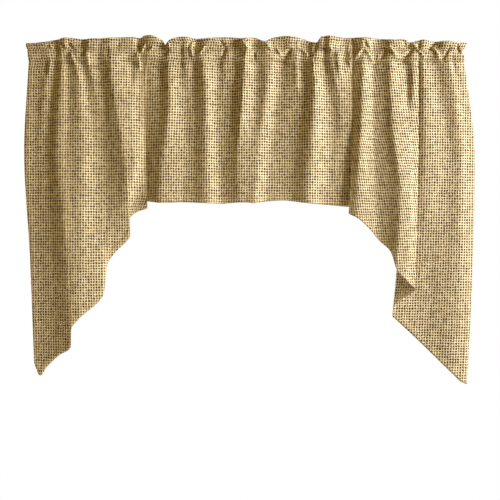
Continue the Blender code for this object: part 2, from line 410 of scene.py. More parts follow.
def smooth_curves(places, values, at, level_ends=False):
    """Reads curves through keys: one row of values a key, one row out a place.

    With level_ends the curves start and end level, as a fold's crest does.
    """
    places = np.asarray(places, float)
    values = np.asarray(values, float)
    flat = values.ndim == 1
    if flat:
        values = values[:, None]
    slopes = key_slopes(places, values, level_ends)
    at = np.clip(np.asarray(at, float), places[0], places[-1])
    i = np.clip(np.searchsorted(places, at, side="right") - 1, 0, len(places) - 2)
    step = (places[i + 1] - places[i])[:, None]
    t = ((at - places[i])[:, None]) / step
    rise = t * t * (3.0 - 2.0 * t)
    start_bend = t * (1.0 - t) ** 2 * step
    end_bend = t * t * (t - 1.0) * step
    result = (
        values[i] * (1.0 - rise)
        + values[i + 1] * rise
        + slopes[i] * start_bend
        + slopes[i + 1] * end_bend
    )
    return result[:, 0] if flat else result


def column(rows, name):
    """One column of a table."""
    return np.array([getattr(row, name) for row in rows], float)


def fold_levels(folds, kind, shares):
    """x or out at the four levels for every share of cloth, in metres."""
    keys = np.stack(
        [column(folds, kind + level) for level in ("_top", "_upper", "_lower", "_hem")],
        axis=1,
    )
    return smooth_curves(column(folds, "share"), keys * MM, shares, kind == "out")


def hanging_rows(folds, shares, downs):
    """Points of the panel from the hem up to the pocket, as rows by columns."""
    x_levels = fold_levels(folds, "x", shares)
    out_levels = fold_levels(folds, "out", shares)
    drops = smooth_curves(column(folds, "share"), column(folds, "drop") * MM, shares)
    x = smooth_curves(LEVELS, x_levels.T, downs)
    out = smooth_curves(LEVELS, out_levels.T, downs)
    top = HEADING_TURNS[0].height * MM
    z = top + np.outer(downs, -drops - top)
    return np.stack([x, -out + HEADING_TURNS[0].depth * MM, z], axis=2)


# How far the ruffle's outer corners stand out sideways, and over what width
RUFFLE_REACH = 14.0 * MM
RUFFLE_REACH_WIDTH = 26.0 * MM

# How far a layer is set off square to the gathers' line, at most and in
# millimetres. The rest of its depth goes straight back, round the rod.
SEWN_SETOFF = 1.3

# The stitches draw the right end in: how far, over what width, at what height
# and over what half height
END_PINCH = 12.0 * MM
END_PINCH_WIDTH = 55.0 * MM
END_PINCH_HEIGHT = 8.0 * MM
END_PINCH_REACH = 13.0 * MM


def heading_rows(folds, shares, steps):
    """Points of the turned-over top, from the lower seam over and down the back."""
    places = column(folds, "share")
    x_line = smooth_curves(places, column(folds, "x_top") * MM, shares)
    folds_out = smooth_curves(places, column(folds, "out_top") * MM, shares, True)
    ruffle_x = column(RUFFLES, "x") * MM
    rises = smooth_curves(ruffle_x, column(RUFFLES, "rise") * MM, x_line)
    waves = smooth_curves(ruffle_x, column(RUFFLES, "out") * MM, x_line)
    near_left = np.clip(1.0 - (x_line - ruffle_x[0]) / RUFFLE_REACH_WIDTH, 0.0, None)
    near_right = np.clip(1.0 - (ruffle_x[-1] - x_line) / RUFFLE_REACH_WIDTH, 0.0, None)
    reach = RUFFLE_REACH * (near_right ** 2 - near_left ** 2)
    turn_keys = np.array(HEADING_TURNS, float)
    turns = smooth_curves(np.arange(len(HEADING_TURNS)), turn_keys, steps)
    height, rise_share, depth, fold, ruffle = turns.T
    x = x_line[None, :] + np.outer(ruffle, reach)
    y = -np.outer(fold, folds_out) - np.outer(ruffle, waves)
    close = np.clip(depth, -SEWN_SETOFF, SEWN_SETOFF) * MM
    along_x = np.gradient(x, axis=1)
    along_y = np.gradient(y, axis=1)
    length = np.hypot(along_x, along_y)
    x = x - close[:, None] * along_y / length
    y = y + close[:, None] * along_x / length + (depth * MM - close)[:, None]
    z = height[:, None] * MM + np.outer(rise_share, rises)
    return np.stack([x, y, z], axis=2)


def bell(value):
    """A smooth hump of height one, about two wide."""
    return np.exp(-value * value)


# A crease comes in over a quarter of its length and fades over a third
CREASE_START_RATE = 4.0
CREASE_END_RATE = 3.0


def crease_depths(points):
    """How far the creases push each point back, in metres."""
    x = points[..., 0] / MM
    z = points[..., 2] / MM
    total = np.zeros_like(x)
    for crease in CREASES:
        length = crease.top - crease.foot
        down = (crease.top - z) / length
        coming = np.clip(down * CREASE_START_RATE, 0.0, 1.0)
        inside = coming * np.clip((1.0 - down) * CREASE_END_RATE, 0.0, 1.0)
        middle = crease.x + crease.lean * down
        total += crease.depth * inside * bell((x - middle) / crease.width)
    return total * MM


# How fast the broad and the fine wrinkles change along x, y and z, for each
# metre, and how strong the fine ones are. The shift keeps the two apart.
BROAD_WRINKLES = (34.0, 20.0, 9.0)
FINE_WRINKLES = (90.0, 60.0, 38.0)
FINE_SHARE = 0.5
FINE_SHIFT = (0.0, 7.0, 0.0)


def wrinkle_field(points, depth):
    """Small uneven wrinkles, longer down the cloth than across it."""
    flat = points.reshape(-1, 3)
    broad = (flat * BROAD_WRINKLES).tolist()
    fine = (flat * FINE_WRINKLES + FINE_SHIFT).tolist()
    field = [noise.noise(a) + FINE_SHARE * noise.noise(b) for a, b in zip(broad, fine)]
    return np.array(field).reshape(points.shape[:2]) * depth


def weave_places(points, seam_row, stretch):
    """Places across and down the weave, which keeps its spacing over the folds."""
    middle = points.shape[1] // 2
    steps = np.diff(points, axis=1)
    across = np.zeros(points.shape[:2])
    across[:, 1:] = np.cumsum(np.sqrt(steps[..., 0] ** 2 + stretch * steps[..., 1] ** 2), axis=1)
    across += (points[:, middle, 0] - across[:, middle])[:, None]
    steps = np.diff(points, axis=0)
    down = np.zeros(points.shape[:2])
    down[1:] = np.cumsum(np.sqrt(steps[..., 2] ** 2 + stretch * steps[..., 1] ** 2), axis=0)
    down -= down[seam_row][None, :]
    return across, down


# The steps of HEADING_TURNS at the upper seam and at the top edge, and the
# mesh's rows for each step in front and behind
UPPER_SEAM_TURN = 4
TOP_TURN = 6
ROWS_PER_TURN = 8
BACK_ROWS_PER_TURN = 4

# The hanging cloth's rows are this many mesh steps apart, because the folds
# run down it, and they crowd near the pocket. The fewest strips each way.
ROW_SPACING = 2.0
TOP_CROWDING = 1.3
FEWEST_STRIPS = 12

# Steps of HEADING_TURNS down the back, and how much of a crease in the front
# the cloth follows there: all of it where it is sewn to the front
BACK_FOLLOWS = ((TOP_TURN, 1.0), (8, 0.9), (10, 0.35), (12, 1.0))


def pinch_end(points):
    """Draws the right end of the heading in, as the stitches there do."""
    to_end = RUFFLES[-1].x * MM - points[..., 0]
    near_end = np.clip(1.0 - to_end / END_PINCH_WIDTH, 0.0, 1.0)
    level = bell((points[..., 2] - END_PINCH_HEIGHT) / END_PINCH_REACH)
    points[..., 0] -= END_PINCH * near_end ** 2 * level


def crumple(points, back_steps, sizes):
    """Adds creases and wrinkles, and lets the back follow where it is sewn."""
    weight = np.ones(len(points))
    weight[-len(back_steps):] = np.interp(back_steps, *zip(*BACK_FOLLOWS))
    push = crease_depths(points) * sizes.gather_strength * weight[:, None]
    push += wrinkle_field(points, sizes.wrinkle_depth)
    points[..., 1] += push


def cloth_sheet(name, folds, sizes):
    """One panel's whole cut: hem to seam, over the top and down the back."""
    width = folds[-1].share
    columns = max(FEWEST_STRIPS, round(width * MM / sizes.mesh_step))
    shares = np.linspace(0.0, width, columns + 1)
    longest = max(fold.drop for fold in folds) * MM
    hang_count = max(FEWEST_STRIPS, round(longest / (ROW_SPACING * sizes.mesh_step)))
    downs = np.linspace(1.0, 0.0, hang_count + 1) ** TOP_CROWDING
    hanging = hanging_rows(folds, shares, downs)
    last_turn = len(HEADING_TURNS) - 1
    front = np.linspace(0.0, TOP_TURN, TOP_TURN * ROWS_PER_TURN + 1)
    back_count = (last_turn - TOP_TURN) * BACK_ROWS_PER_TURN + 1
    back = np.linspace(TOP_TURN, last_turn, back_count)[1:]
    heading = heading_rows(folds, shares, np.concatenate([front, back]))
    points = np.concatenate([hanging, heading[1:]], axis=0)
    pinch_end(points)
    crumple(points, back, sizes)
    sheet, to_hem, to_side = build_sheet(name, points, hang_count, folds, shares, sizes)
    paths = seam_paths(to_hem, to_side, hang_count, sizes.hem_depth - sizes.hem_thickness)
    return sheet, sew(name + "_stitches", points, paths, sizes)


def add_object(name, data):
    """A new object, linked to the scene."""
    thing = bpy.data.objects.new(name, data)
    bpy.context.scene.collection.objects.link(thing)
    return thing


def build_sheet(name, points, hang_count, folds, shares, sizes):
    """The cloth's object, and its distances from the lower hem and the sides."""
    rows, columns = points.shape[:2]
    index = np.arange(rows * columns).reshape(rows, columns)
    quads = np.stack(
        [index[:-1, :-1], index[:-1, 1:], index[1:, 1:], index[1:, :-1]], axis=-1
    ).reshape(-1, 4)
    mesh = bpy.data.meshes.new(name)
    mesh.from_pydata(points.reshape(-1, 3).tolist(), [], quads.tolist())
    mesh.shade_smooth()

    across, down = weave_places(points, hang_count, sizes.depth_stretch)
    weave = mesh.uv_layers.new(name="weave")
    loops = np.array([loop.vertex_index for loop in mesh.loops])
    uv = np.stack([across.ravel()[loops], down.ravel()[loops]], axis=1)
    weave.data.foreach_set("uv", uv.ravel())

    drops = smooth_curves(column(folds, "share"), column(folds, "drop") * MM, shares)
    to_hem = points[..., 2] + drops[None, :]
    hem_slope = np.gradient(drops) / np.gradient(across[0])
    to_hem = to_hem / np.sqrt(1.0 + hem_slope ** 2)[None, :]
    to_side = np.minimum(across - across[:, :1], across[:, -1:] - across)
    to_edge = np.minimum(to_hem, to_side)
    edge = mesh.attributes.new("edge_distance", "FLOAT", "POINT")
    edge.data.foreach_set("value", to_edge.ravel())

    sheet = add_object(name, mesh)
    hem = sheet.vertex_groups.new(name="hem")
    thin = sizes.thickness / sizes.hem_thickness
    inside = to_edge.ravel() < sizes.hem_depth
    hem.add(np.nonzero(inside)[0].tolist(), 1.0, "REPLACE")
    hem.add(np.nonzero(~inside)[0].tolist(), thin, "REPLACE")
    solidify = sheet.modifiers.new("cloth thickness", "SOLIDIFY")
    solidify.thickness = sizes.hem_thickness
    solidify.offset = 0.0
    solidify.vertex_group = hem.name
    return sheet, to_hem, to_side


def surface_normals(points):
    """Outward normals of the cloth's front at every point of its mesh."""
    across = np.gradient(points, axis=1)
    up = np.gradient(points, axis=0)
    normals = np.cross(across, up)
    return normals / np.linalg.norm(normals, axis=2, keepdims=True)


def blend(field, row, col):
    """Reads a field of the mesh between its points."""
    i = min(int(row), field.shape[0] - 2)
    j = min(int(col), field.shape[1] - 2)
    u, v = row - i, col - j
    low = field[i, j] * (1.0 - v) + field[i, j + 1] * v
    high = field[i + 1, j] * (1.0 - v) + field[i + 1, j + 1] * v
    return low * (1.0 - u) + high * u


def crossing(values, level):
    """The place in a rising row of values at which it reaches a level."""
    i = int(np.argmax(values >= level))
    if i == 0:
        return 0.0
    return i - 1 + (level - values[i - 1]) / (values[i] - values[i - 1])


def seam_paths(to_hem, to_side, hang_count, inset):
    """Rows and columns along which the panel is sewn: hems, then pocket seams."""
    columns = to_hem.shape[1]
    half = columns // 2
    left, right = [], []
    for row in range(hang_count, -1, -1):
        for side, path in ((to_side[row, :half], left), (to_side[row, ::-1][:half], right)):
            col = crossing(side, inset)
            if path is right:
                col = columns - 1 - col
            if blend(to_hem, row, col) > inset:
                path.append((float(row), col))
    bottom = []
    for col in range(columns):
        row = crossing(to_hem[:hang_count, col], inset)
        if blend(to_side, row, col) > inset:
            bottom.append((row, float(col)))
    hem = left + bottom + right[::-1]
    upper = hang_count + UPPER_SEAM_TURN * ROWS_PER_TURN
    seams = [[(float(row), float(col)) for col in range(columns)] for row in (hang_count, upper)]
    return [hem, *seams]


# Rings of one stitch: place along it and share of the thread's width. Its
# ends sink into the cloth by up to THREAD_SINK of that width.
THREAD_RINGS = ((0.0, 0.05), (0.2, 0.85), (0.5, 1.0), (0.8, 0.85), (1.0, 0.05))
THREAD_SIDES = 6
THREAD_SINK = 0.35


def add_stitch(bm, layer, start, end, normal, width):
    """One sunk lens of thread from start to end."""
    along = end - start
    side = along.cross(normal).normalized()
    rings = []
    for place, size in THREAD_RINGS:
        middle = start + along * place - normal * (THREAD_SINK * width * (1.0 - size))
        ring = []
        for k in range(THREAD_SIDES):
            angle = 2.0 * math.pi * k / THREAD_SIDES
            offset = side * math.cos(angle) + normal * math.sin(angle)
            ring.append(bm.verts.new(middle + offset * (0.5 * width * size)))
        rings.append(ring)
    for index, (first, second) in enumerate(zip(rings, rings[1:])):
        for k in range(THREAD_SIDES):
            near = (k + 1) % THREAD_SIDES
            face = bm.faces.new((first[k], first[near], second[near], second[k]))
            face.smooth = True
            places = ((index, k), (index, k + 1), (index + 1, k + 1), (index + 1, k))
            for loop, (ring, corner) in zip(face.loops, places):
                loop[layer].uv = (THREAD_RINGS[ring][0], corner / THREAD_SIDES)
    bm.faces.new(rings[0][::-1])
    bm.faces.new(rings[-1])


def sew(name, points, paths, sizes):
    """Stitches that follow the paths on the front of the cloth."""
    normals = surface_normals(points)
    bm = bmesh.new()
    layer = bm.loops.layers.uv.new("thread")
    lift = 0.5 * sizes.hem_thickness
    for path in paths:
        places = np.array([blend(points, row, col) for row, col in path])
        facing = np.array([blend(normals, row, col) for row, col in path])
        length = np.zeros(len(places))
        length[1:] = np.cumsum(np.linalg.norm(np.diff(places, axis=0), axis=1))
        last = length[-1] - sizes.stitch_length
        for start in np.arange(0.5 * sizes.stitch_pitch, last, sizes.stitch_pitch):
            ends = []
            for at in (start, start + sizes.stitch_length):
                place = Vector([float(np.interp(at, length, places[:, k])) for k in range(3)])
                normal = Vector([float(np.interp(at, length, facing[:, k])) for k in range(3)])
                ends.append((place + normal * lift, normal))
            (near, normal), (far, _) = ends
            add_stitch(bm, layer, near, far, normal.normalized(), sizes.thread_width)
    mesh = bpy.data.meshes.new(name)
    bm.to_mesh(mesh)
    bm.free()
    return add_object(name, mesh)


class Wiring:
    """Short ways to add and join nodes in one node tree."""

    def __init__(self, tree):
        self.tree = tree

    def add(self, kind, **settings):
        """A new node with its settings."""
        node = self.tree.nodes.new(kind)
        for key, value in settings.items():
            setattr(node, key, value)
        return node

    def join(self, source, target):
        """A link from one socket to another."""
        self.tree.links.new(source, target)

    def feed(self, socket, value):
        """Links a socket to another one, or sets it to a plain value."""
        if hasattr(value, "links"):
            self.join(value, socket)
        else:
            socket.default_value = value

    def math(self, operation, *values, kind="ShaderNodeMath"):
        """The result of one operation on one to three values."""
        node = self.add(kind, operation=operation)
        for socket, value in zip(node.inputs, values):
            self.feed(socket, value)
        return node.outputs[0]

    def vector(self, operation, *values):
        """The same for vectors."""
        return self.math(operation, *values, kind="ShaderNodeVectorMath")

    def split(self, place):
        """The x, y and z of a vector."""
        node = self.add("ShaderNodeSeparateXYZ")
        self.join(place, node.inputs[0])
        return node.outputs

    def point(self, x, y):
        """A flat vector of two values."""
        node = self.add("ShaderNodeCombineXYZ")
        self.join(x, node.inputs[0])
        self.join(y, node.inputs[1])
        return node.outputs[0]

    def noise(self, place, scale, detail=2.0):
        """Soft noise at a place, from 0 to 1."""
        node = self.add("ShaderNodeTexNoise")
        self.join(place, node.inputs["Vector"])
        self.feed(node.inputs["Scale"], scale)
        node.inputs["Detail"].default_value = detail
        return node.outputs["Fac"]

    def spread(self, value, low, high, new_low=0.0, new_high=1.0):
        """Turns one range of a value smoothly into another."""
        node = self.add("ShaderNodeMapRange", interpolation_type="SMOOTHSTEP")
        limits = (value, low, high, new_low, new_high)
        for socket, limit in zip(node.inputs, limits):
            self.feed(socket, limit)
        return node.outputs[0]

    def crown(self, value):
        """A round hump over every whole step of a value."""
        return self.math("SINE", self.math("MULTIPLY", self.math("FRACT", value), math.pi))

    def mix(self, factor, first, second):
        """A colour between two, through the mix node's colour sockets."""
        node = self.add("ShaderNodeMix", data_type="RGBA")
        self.feed(node.inputs["Factor"], factor)
        self.feed(node.inputs[6], first)
        self.feed(node.inputs[7], second)
        return node.outputs[2]


def new_group(name, inputs, outputs):
    """An empty shader node group with named sockets."""
    group = bpy.data.node_groups.new(name, "ShaderNodeTree")
    for label, kind, default in inputs:
        socket = group.interface.new_socket(label, in_out="INPUT", socket_type=kind)
        if default is not None:
            socket.default_value = default
    for label, kind in outputs:
        group.interface.new_socket(label, in_out="OUTPUT", socket_type=kind)
    wiring = Wiring(group)
    source = wiring.add("NodeGroupInput")
    target = wiring.add("NodeGroupOutput")
    return group, wiring, source, target


# The yarns' wandering: scales of its fine and broad noise, how much more the
# broad one counts, and the weft's shift in it
JITTER_SCALE = 170.0
DRIFT_SCALE = 46.0
DRIFT_WEIGHT = 5.0
WEFT_SHIFT = (3.1, 7.7, 0.0)

# The gaps: how square they are, where their painted shade begins to fade and ends,
# how deep they lie, and what chance adds to their least size and least shade
CORNER_POWER = 3.0
GAP_CORE = 0.55
GAP_RIM = 1.15
GAP_SINK = 0.9
CHANCE_SIZE = (0.35, 0.82)
CHANCE_DARK = (0.25, 0.75)

# The yarns: how peaked and high they are, and how far they rise or dip where
# they cross
YARN_PEAK = 0.5
WARP_HEIGHT = 0.6
WEFT_HEIGHT = 0.66
OVER_UNDER = 0.3

# A yarn's strands: how peaked and high they are, how far they are sunk, their
# twists in one pitch and how high those are, and how fast the tone changes from
# strand to strand and along one
STRAND_PEAK = 0.6
STRAND_HEIGHT = 0.36
STRAND_SINK = 0.24
STRAND_TWISTS = 7.0
TWIST_HEIGHT = 0.06
TONE_ACROSS = 0.31
TONE_ALONG = 0.22


def basket_weave_group():
    """Coarse yarns crossing over and under, with a gap at every corner; the material lays painted
    shade in the gaps.
    """
    group, w, source, target = new_group(
        "Basket Weave",
        [
            ("Place", "NodeSocketVector", None),
            ("Pitch Across", "NodeSocketFloat", 0.007),
            ("Pitch Down", "NodeSocketFloat", 0.0074),
            ("Strands", "NodeSocketFloat", 3.0),
            ("Unevenness", "NodeSocketFloat", 0.1),
            ("Gap Size", "NodeSocketFloat", 0.3),
        ],
        [
            ("Height", "NodeSocketFloat"),
            ("Gap", "NodeSocketFloat"),
            ("Slub", "NodeSocketFloat"),
        ],
    )
    place = source.outputs["Place"]
    parts = w.split(place)
    uneven = source.outputs["Unevenness"]
    jitter = w.math("SUBTRACT", w.noise(place, JITTER_SCALE, 1.0), 0.5)
    yarns = []
    for axis, pitch, shift in ((0, "Pitch Across", (0.0, 0.0, 0.0)), (1, "Pitch Down", WEFT_SHIFT)):
        drift = w.math("SUBTRACT", w.noise(w.vector("ADD", place, shift), DRIFT_SCALE), 0.5)
        drift = w.math("ADD", w.math("MULTIPLY", drift, DRIFT_WEIGHT), jitter)
        count = w.math("DIVIDE", parts[axis], source.outputs[pitch])
        yarns.append(w.math("ADD", count, w.math("MULTIPLY", drift, uneven)))
    a, b = yarns

    beside = [w.math("POWER", w.math("PINGPONG", yarn, 0.5), CORNER_POWER) for yarn in yarns]
    from_corner = w.math("POWER", w.math("ADD", *beside), 1.0 / CORNER_POWER)
    chance = w.add("ShaderNodeTexWhiteNoise", noise_dimensions="2D")
    w.join(w.point(w.math("ROUND", a), w.math("ROUND", b)), chance.inputs["Vector"])
    openness = w.math("MULTIPLY_ADD", chance.outputs["Value"], *CHANCE_SIZE)
    size = w.math("MULTIPLY", source.outputs["Gap Size"], openness)
    core = w.math("MULTIPLY", size, GAP_CORE)
    gap = w.spread(from_corner, core, w.math("MULTIPLY", size, GAP_RIM), 1.0, 0.0)
    darkness = w.math("MULTIPLY_ADD", chance.outputs["Value"], *CHANCE_DARK)
    gap = w.math("MULTIPLY", gap, darkness)

    corners = w.math("ADD", w.math("FLOOR", a), w.math("FLOOR", b))
    parity = w.math("MODULO", w.math("ABSOLUTE", corners), 2.0)
    over = w.math("MULTIPLY_ADD", parity, 2.0 * OVER_UNDER, -OVER_UNDER)
    crown_a = w.crown(a)
    crown_b = w.crown(b)
    round_a = w.math("MULTIPLY", w.math("POWER", crown_a, YARN_PEAK), WARP_HEIGHT)
    round_b = w.math("MULTIPLY", w.math("POWER", crown_b, YARN_PEAK), WEFT_HEIGHT)
    strands = source.outputs["Strands"]
    relief = []
    for across, along in ((a, b), (b, a)):
        strand = w.math("MULTIPLY", across, strands)
        ridge = w.math("MULTIPLY", w.math("POWER", w.crown(strand), STRAND_PEAK), STRAND_HEIGHT)
        ply = w.math("MULTIPLY_ADD", along, STRAND_TWISTS, w.math("MULTIPLY", strand, 0.5))
        twist = w.math("SINE", w.math("MULTIPLY", ply, 2.0 * math.pi))
        ridge = w.math("SUBTRACT", ridge, STRAND_SINK)
        relief.append(w.math("MULTIPLY_ADD", twist, TWIST_HEIGHT, ridge))
    warp = w.math("ADD", w.math("ADD", round_a, w.math("MULTIPLY", over, crown_b)), relief[0])
    weft = w.math("ADD", w.math("SUBTRACT", round_b, w.math("MULTIPLY", over, crown_a)), relief[1])
    height = w.math("SUBTRACT", w.math("MAXIMUM", warp, weft), w.math("MULTIPLY", gap, GAP_SINK))
    w.join(height, target.inputs["Height"])
    w.join(gap, target.inputs["Gap"])

    strand_a = w.math("FLOOR", w.math("MULTIPLY", a, strands))
    strand_b = w.math("FLOOR", w.math("MULTIPLY", b, strands))
    warp_place = w.point(
        w.math("MULTIPLY", strand_a, TONE_ACROSS), w.math("MULTIPLY", b, TONE_ALONG)
    )
    weft_place = w.point(
        w.math("MULTIPLY", a, TONE_ALONG), w.math("MULTIPLY", strand_b, TONE_ACROSS)
    )
    warp_over = w.math("GREATER_THAN", warp, weft)
    warp_tone = w.math("MULTIPLY", w.noise(warp_place, 1.0), warp_over)
    weft_over = w.math("SUBTRACT", 1.0, warp_over)
    weft_tone = w.math("MULTIPLY", w.noise(weft_place, 1.0), weft_over)
    w.join(w.math("ADD", warp_tone, weft_tone), target.inputs["Slub"])
    return group


UNEVENNESS_RANGE = (0.3, 0.7)


def light_unevenness_group():
    """Broad and middling random unevenness, which sets how strong the painted highlights and painted
    shade are.
    """
    group, w, source, target = new_group(
        "Cloth Fading",
        [
            ("Place", "NodeSocketVector", None),
            ("Broad Scale", "NodeSocketFloat", 3.0),
            ("Fine Scale", "NodeSocketFloat", 30.0),
        ],
        [("Broad", "NodeSocketFloat"), ("Fine", "NodeSocketFloat")],
    )
    for label, scale in (("Broad", "Broad Scale"), ("Fine", "Fine Scale")):
        light_unevenness = w.noise(source.outputs["Place"], source.outputs[scale], 3.0)
        w.join(w.spread(light_unevenness, *UNEVENNESS_RANGE), target.inputs[label])
    return group


def group_node(w, name, builder, **values):
    """A node group placed in a material with its own values."""
    node = w.add("ShaderNodeGroup")
    node.node_tree = bpy.data.node_groups.get(name) or builder()
    for label, value in values.items():
        w.feed(node.inputs[label.replace("_", " ")], value)
    return node


def new_material(name):
    """A new material, the wiring of its nodes and its shader."""
    material = bpy.data.materials.new(name)
    material.use_nodes = True
    return material, Wiring(material.node_tree), material.node_tree.nodes["Principled BSDF"]


def add_bump(w, shader, height, strength, distance):
    """Relief on a shader's surface."""
    bump = w.add("ShaderNodeBump")
    bump.inputs["Strength"].default_value = strength
    bump.inputs["Distance"].default_value = distance
    w.join(height, bump.inputs["Height"])
    w.join(bump.outputs["Normal"], shader.inputs["Normal"])


CLOTH = "tan_basket_weave"
THREAD = "tan_thread"

# Ranges over which a look comes in, some with the shares at their two ends:
# the yarn's tone, painted highlight on crowns, painted shade in hollows, dark fibres
SLUB_RANGE = (0.34, 0.66)
CROWN_HIGHLIGHT_RANGE = (0.42, 0.98)
HOLLOW_SHADE_RANGE = (0.1, 0.6, 0.6, 0.0)
FIBRE_RANGE = (0.45, 0.75, 0.0, 0.25)

# What a mask adds to a share, and the share without it: random unevenness of the
# painted highlight on crowns and of the painted shade in gaps, a hem's double cloth
# lessening the painted shade in gaps, and gaps on the roughness
UNEVEN_HIGHLIGHT = (0.35, 0.65)
UNEVEN_GAP_SHADE = (0.15, 0.85)
HEM_GAP = (-0.35, 1.0)
GAP_ROUGHNESS = (0.46, 0.54)

# Where the double cloth of a hem ends, and the width and share of the darkening
# towards the cloth's edges
HEM_END = (-2.0 * MM, 1.0 * MM)
EDGE_DARK_WIDTH = 4.0 * MM
EDGE_DARK_SHARE = 0.35

# Scale of the fibres' noise and how much it roughens the relief
FIBRE_SCALE = 1300.0
FIBRE_RELIEF = 0.25


def cloth_material(colours, sizes):
    """Coarse tan basket weave: painted highlights on the crowns, painted shade in the hollows and
    gaps, slubby yarns.
    """
    material, w, shader = new_material(CLOTH)
    shader.inputs["Specular IOR Level"].default_value = 0.9
    shader.inputs["Sheen Weight"].default_value = 0.25
    shader.inputs["Sheen Roughness"].default_value = 0.5

    place = w.add("ShaderNodeUVMap", uv_map="weave").outputs["UV"]
    weave = group_node(
        w, "Basket Weave", basket_weave_group,
        Place=place,
        Pitch_Across=sizes.weave_across,
        Pitch_Down=sizes.weave_down,
        Strands=3.0,
        Unevenness=0.10,
        Gap_Size=0.375,
    )
    light_unevenness = group_node(
        w, "Cloth Fading", light_unevenness_group, Place=place, Broad_Scale=3.2, Fine_Scale=38.0
    )
    fibre = w.noise(place, FIBRE_SCALE, 3.0)
    height = weave.outputs["Height"]
    slub = w.spread(weave.outputs["Slub"], *SLUB_RANGE)
    yarn = w.mix(slub, tuple(colours.dark_yarn_and_shade), tuple(colours.yarn))
    # Painted highlight: the yarns' crowns, where the relief is high, are made paler
    uneven_strength = w.math("MULTIPLY_ADD", light_unevenness.outputs["Fine"], *UNEVEN_HIGHLIGHT)
    pale = w.math("MULTIPLY", w.spread(height, *CROWN_HIGHLIGHT_RANGE), uneven_strength)
    yarn = w.mix(pale, yarn, tuple(colours.crown_highlight))
    # Painted shade: hollows between yarns, where the relief is low, are darkened; dark fibres are
    # real specks
    deep = w.math("ADD", w.spread(height, *HOLLOW_SHADE_RANGE), w.spread(fibre, *FIBRE_RANGE))
    yarn = w.mix(deep, yarn, tuple(colours.dark_yarn_and_shade))

    from_edge = w.add("ShaderNodeAttribute", attribute_name="edge_distance").outputs["Fac"]
    hem_start, hem_stop = (sizes.hem_depth + step for step in HEM_END)
    hem = w.spread(from_edge, hem_start, hem_stop, 1.0, 0.0)
    uneven_strength = w.math("MULTIPLY_ADD", light_unevenness.outputs["Broad"], *UNEVEN_GAP_SHADE)
    gap = w.math("MULTIPLY", weave.outputs["Gap"], uneven_strength)
    gap = w.math("MULTIPLY", gap, w.math("MULTIPLY_ADD", hem, *HEM_GAP))
    # Darker towards the cloth's edges
    edge_darkening = w.spread(from_edge, 0.0, EDGE_DARK_WIDTH, EDGE_DARK_SHARE, 0.0)
    yarn = w.mix(edge_darkening, yarn, tuple(colours.dark_yarn_and_shade))
    # Painted shade: the gaps between the yarns take a near-black colour
    w.join(w.mix(gap, yarn, tuple(colours.gap)), shader.inputs["Base Color"])
    w.join(w.math("MULTIPLY_ADD", gap, *GAP_ROUGHNESS), shader.inputs["Roughness"])
    raised = w.math("MULTIPLY_ADD", fibre, FIBRE_RELIEF, height)
    add_bump(w, shader, raised, strength=0.9, distance=1.1 * MM)
    return material


# The thread: its plies, their turns in one stitch, and the fuzz on them
THREAD_PLIES = 2.0
THREAD_TURNS = 3.0
FUZZ_STRETCH = (9.0, 3.0, 1.0)
FUZZ_SCALE = 5.0
FUZZ_TONE = (0.5, 0.6)


def thread_material(colours):
    """Tan sewing thread with its plies twisted round each other, and painted shade in the grooves
    between them.
    """
    material, w, shader = new_material(THREAD)
    shader.inputs["Roughness"].default_value = 0.62
    shader.inputs["Sheen Weight"].default_value = 0.2
    place = w.add("ShaderNodeUVMap", uv_map="thread").outputs["UV"]
    along, around, _ = w.split(place)
    twist = w.math("ADD", w.math("MULTIPLY", along, THREAD_TURNS), around)
    ply = w.math("SINE", w.math("MULTIPLY", twist, 2.0 * THREAD_PLIES * math.pi))
    raised = w.spread(ply, -1.0, 1.0)
    fuzz = w.noise(w.vector("MULTIPLY", place, FUZZ_STRETCH), FUZZ_SCALE)
    # Painted shade: the thread darkens in the grooves between its plies, with random fuzz
    tone = w.math("MULTIPLY", raised, w.math("MULTIPLY_ADD", fuzz, *FUZZ_TONE))
    w.join(w.mix(tone, tuple(colours.dark_yarn_and_shade), tuple(colours.thread)), shader.inputs["Base Color"])
    add_bump(w, shader, raised, strength=0.6, distance=0.15 * MM)
    return material


def heading_length():
    """Length of cloth from the rod's height over the top and down the back."""
    rise = float(np.mean(column(RUFFLES, "rise")))
    line = [(turn.depth, turn.height + turn.rise_share * rise) for turn in HEADING_TURNS]
    steps = zip(line, line[1:])
    return sum(math.hypot(b[0] - a[0], b[1] - a[1]) for a, b in steps) * MM


def flat_cut(folds):
    """Width and length of a panel's flat cut, and its area."""
    turned = heading_length()
    share = column(folds, "share") * MM
    drop = column(folds, "drop") * MM
    width = share[-1]
    area = float(np.sum((drop[1:] + drop[:-1]) / 2.0 * np.diff(share)) + turned * width)
    return (float(width), float(drop.max() + turned)), area


def swag_sheet(name, folds, nodes, context):
    sizes = context.scene.swag_sizes
    colours = context.scene.swag_colours
    piece, stitches = cloth_sheet(name, folds, sizes)
    found = bpy.data.materials.get
    piece.data.materials.append(found(CLOTH) or cloth_material(colours, sizes))
    stitches.data.materials.append(found(THREAD) or thread_material(colours))
    for part in (piece, stitches):
        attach(part, "root")
    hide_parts(*nodes)
    flat, area = flat_cut(folds)


class SWAG_OT_left_swag(bpy.types.Operator):
    """Hangs the left swag"""

    bl_idname = "swag.left_swag"
    bl_label = "Left Swag"

    def execute(self, context):
        nodes = ("left_swag", "left_heading")
        swag_sheet("left_swag_cloth", LEFT_SWAG_FOLDS, nodes, context)
        return {"FINISHED"}


class SWAG_OT_centre_valance(bpy.types.Operator):
    """Hangs the straight valance between the swags"""

    bl_idname = "swag.centre_valance"
    bl_label = "Centre Valance"

    def execute(self, context):
        nodes = ("centre_valance", "centre_heading")
        swag_sheet("centre_valance_cloth", CENTRE_VALANCE_FOLDS, nodes, context)
        return {"FINISHED"}


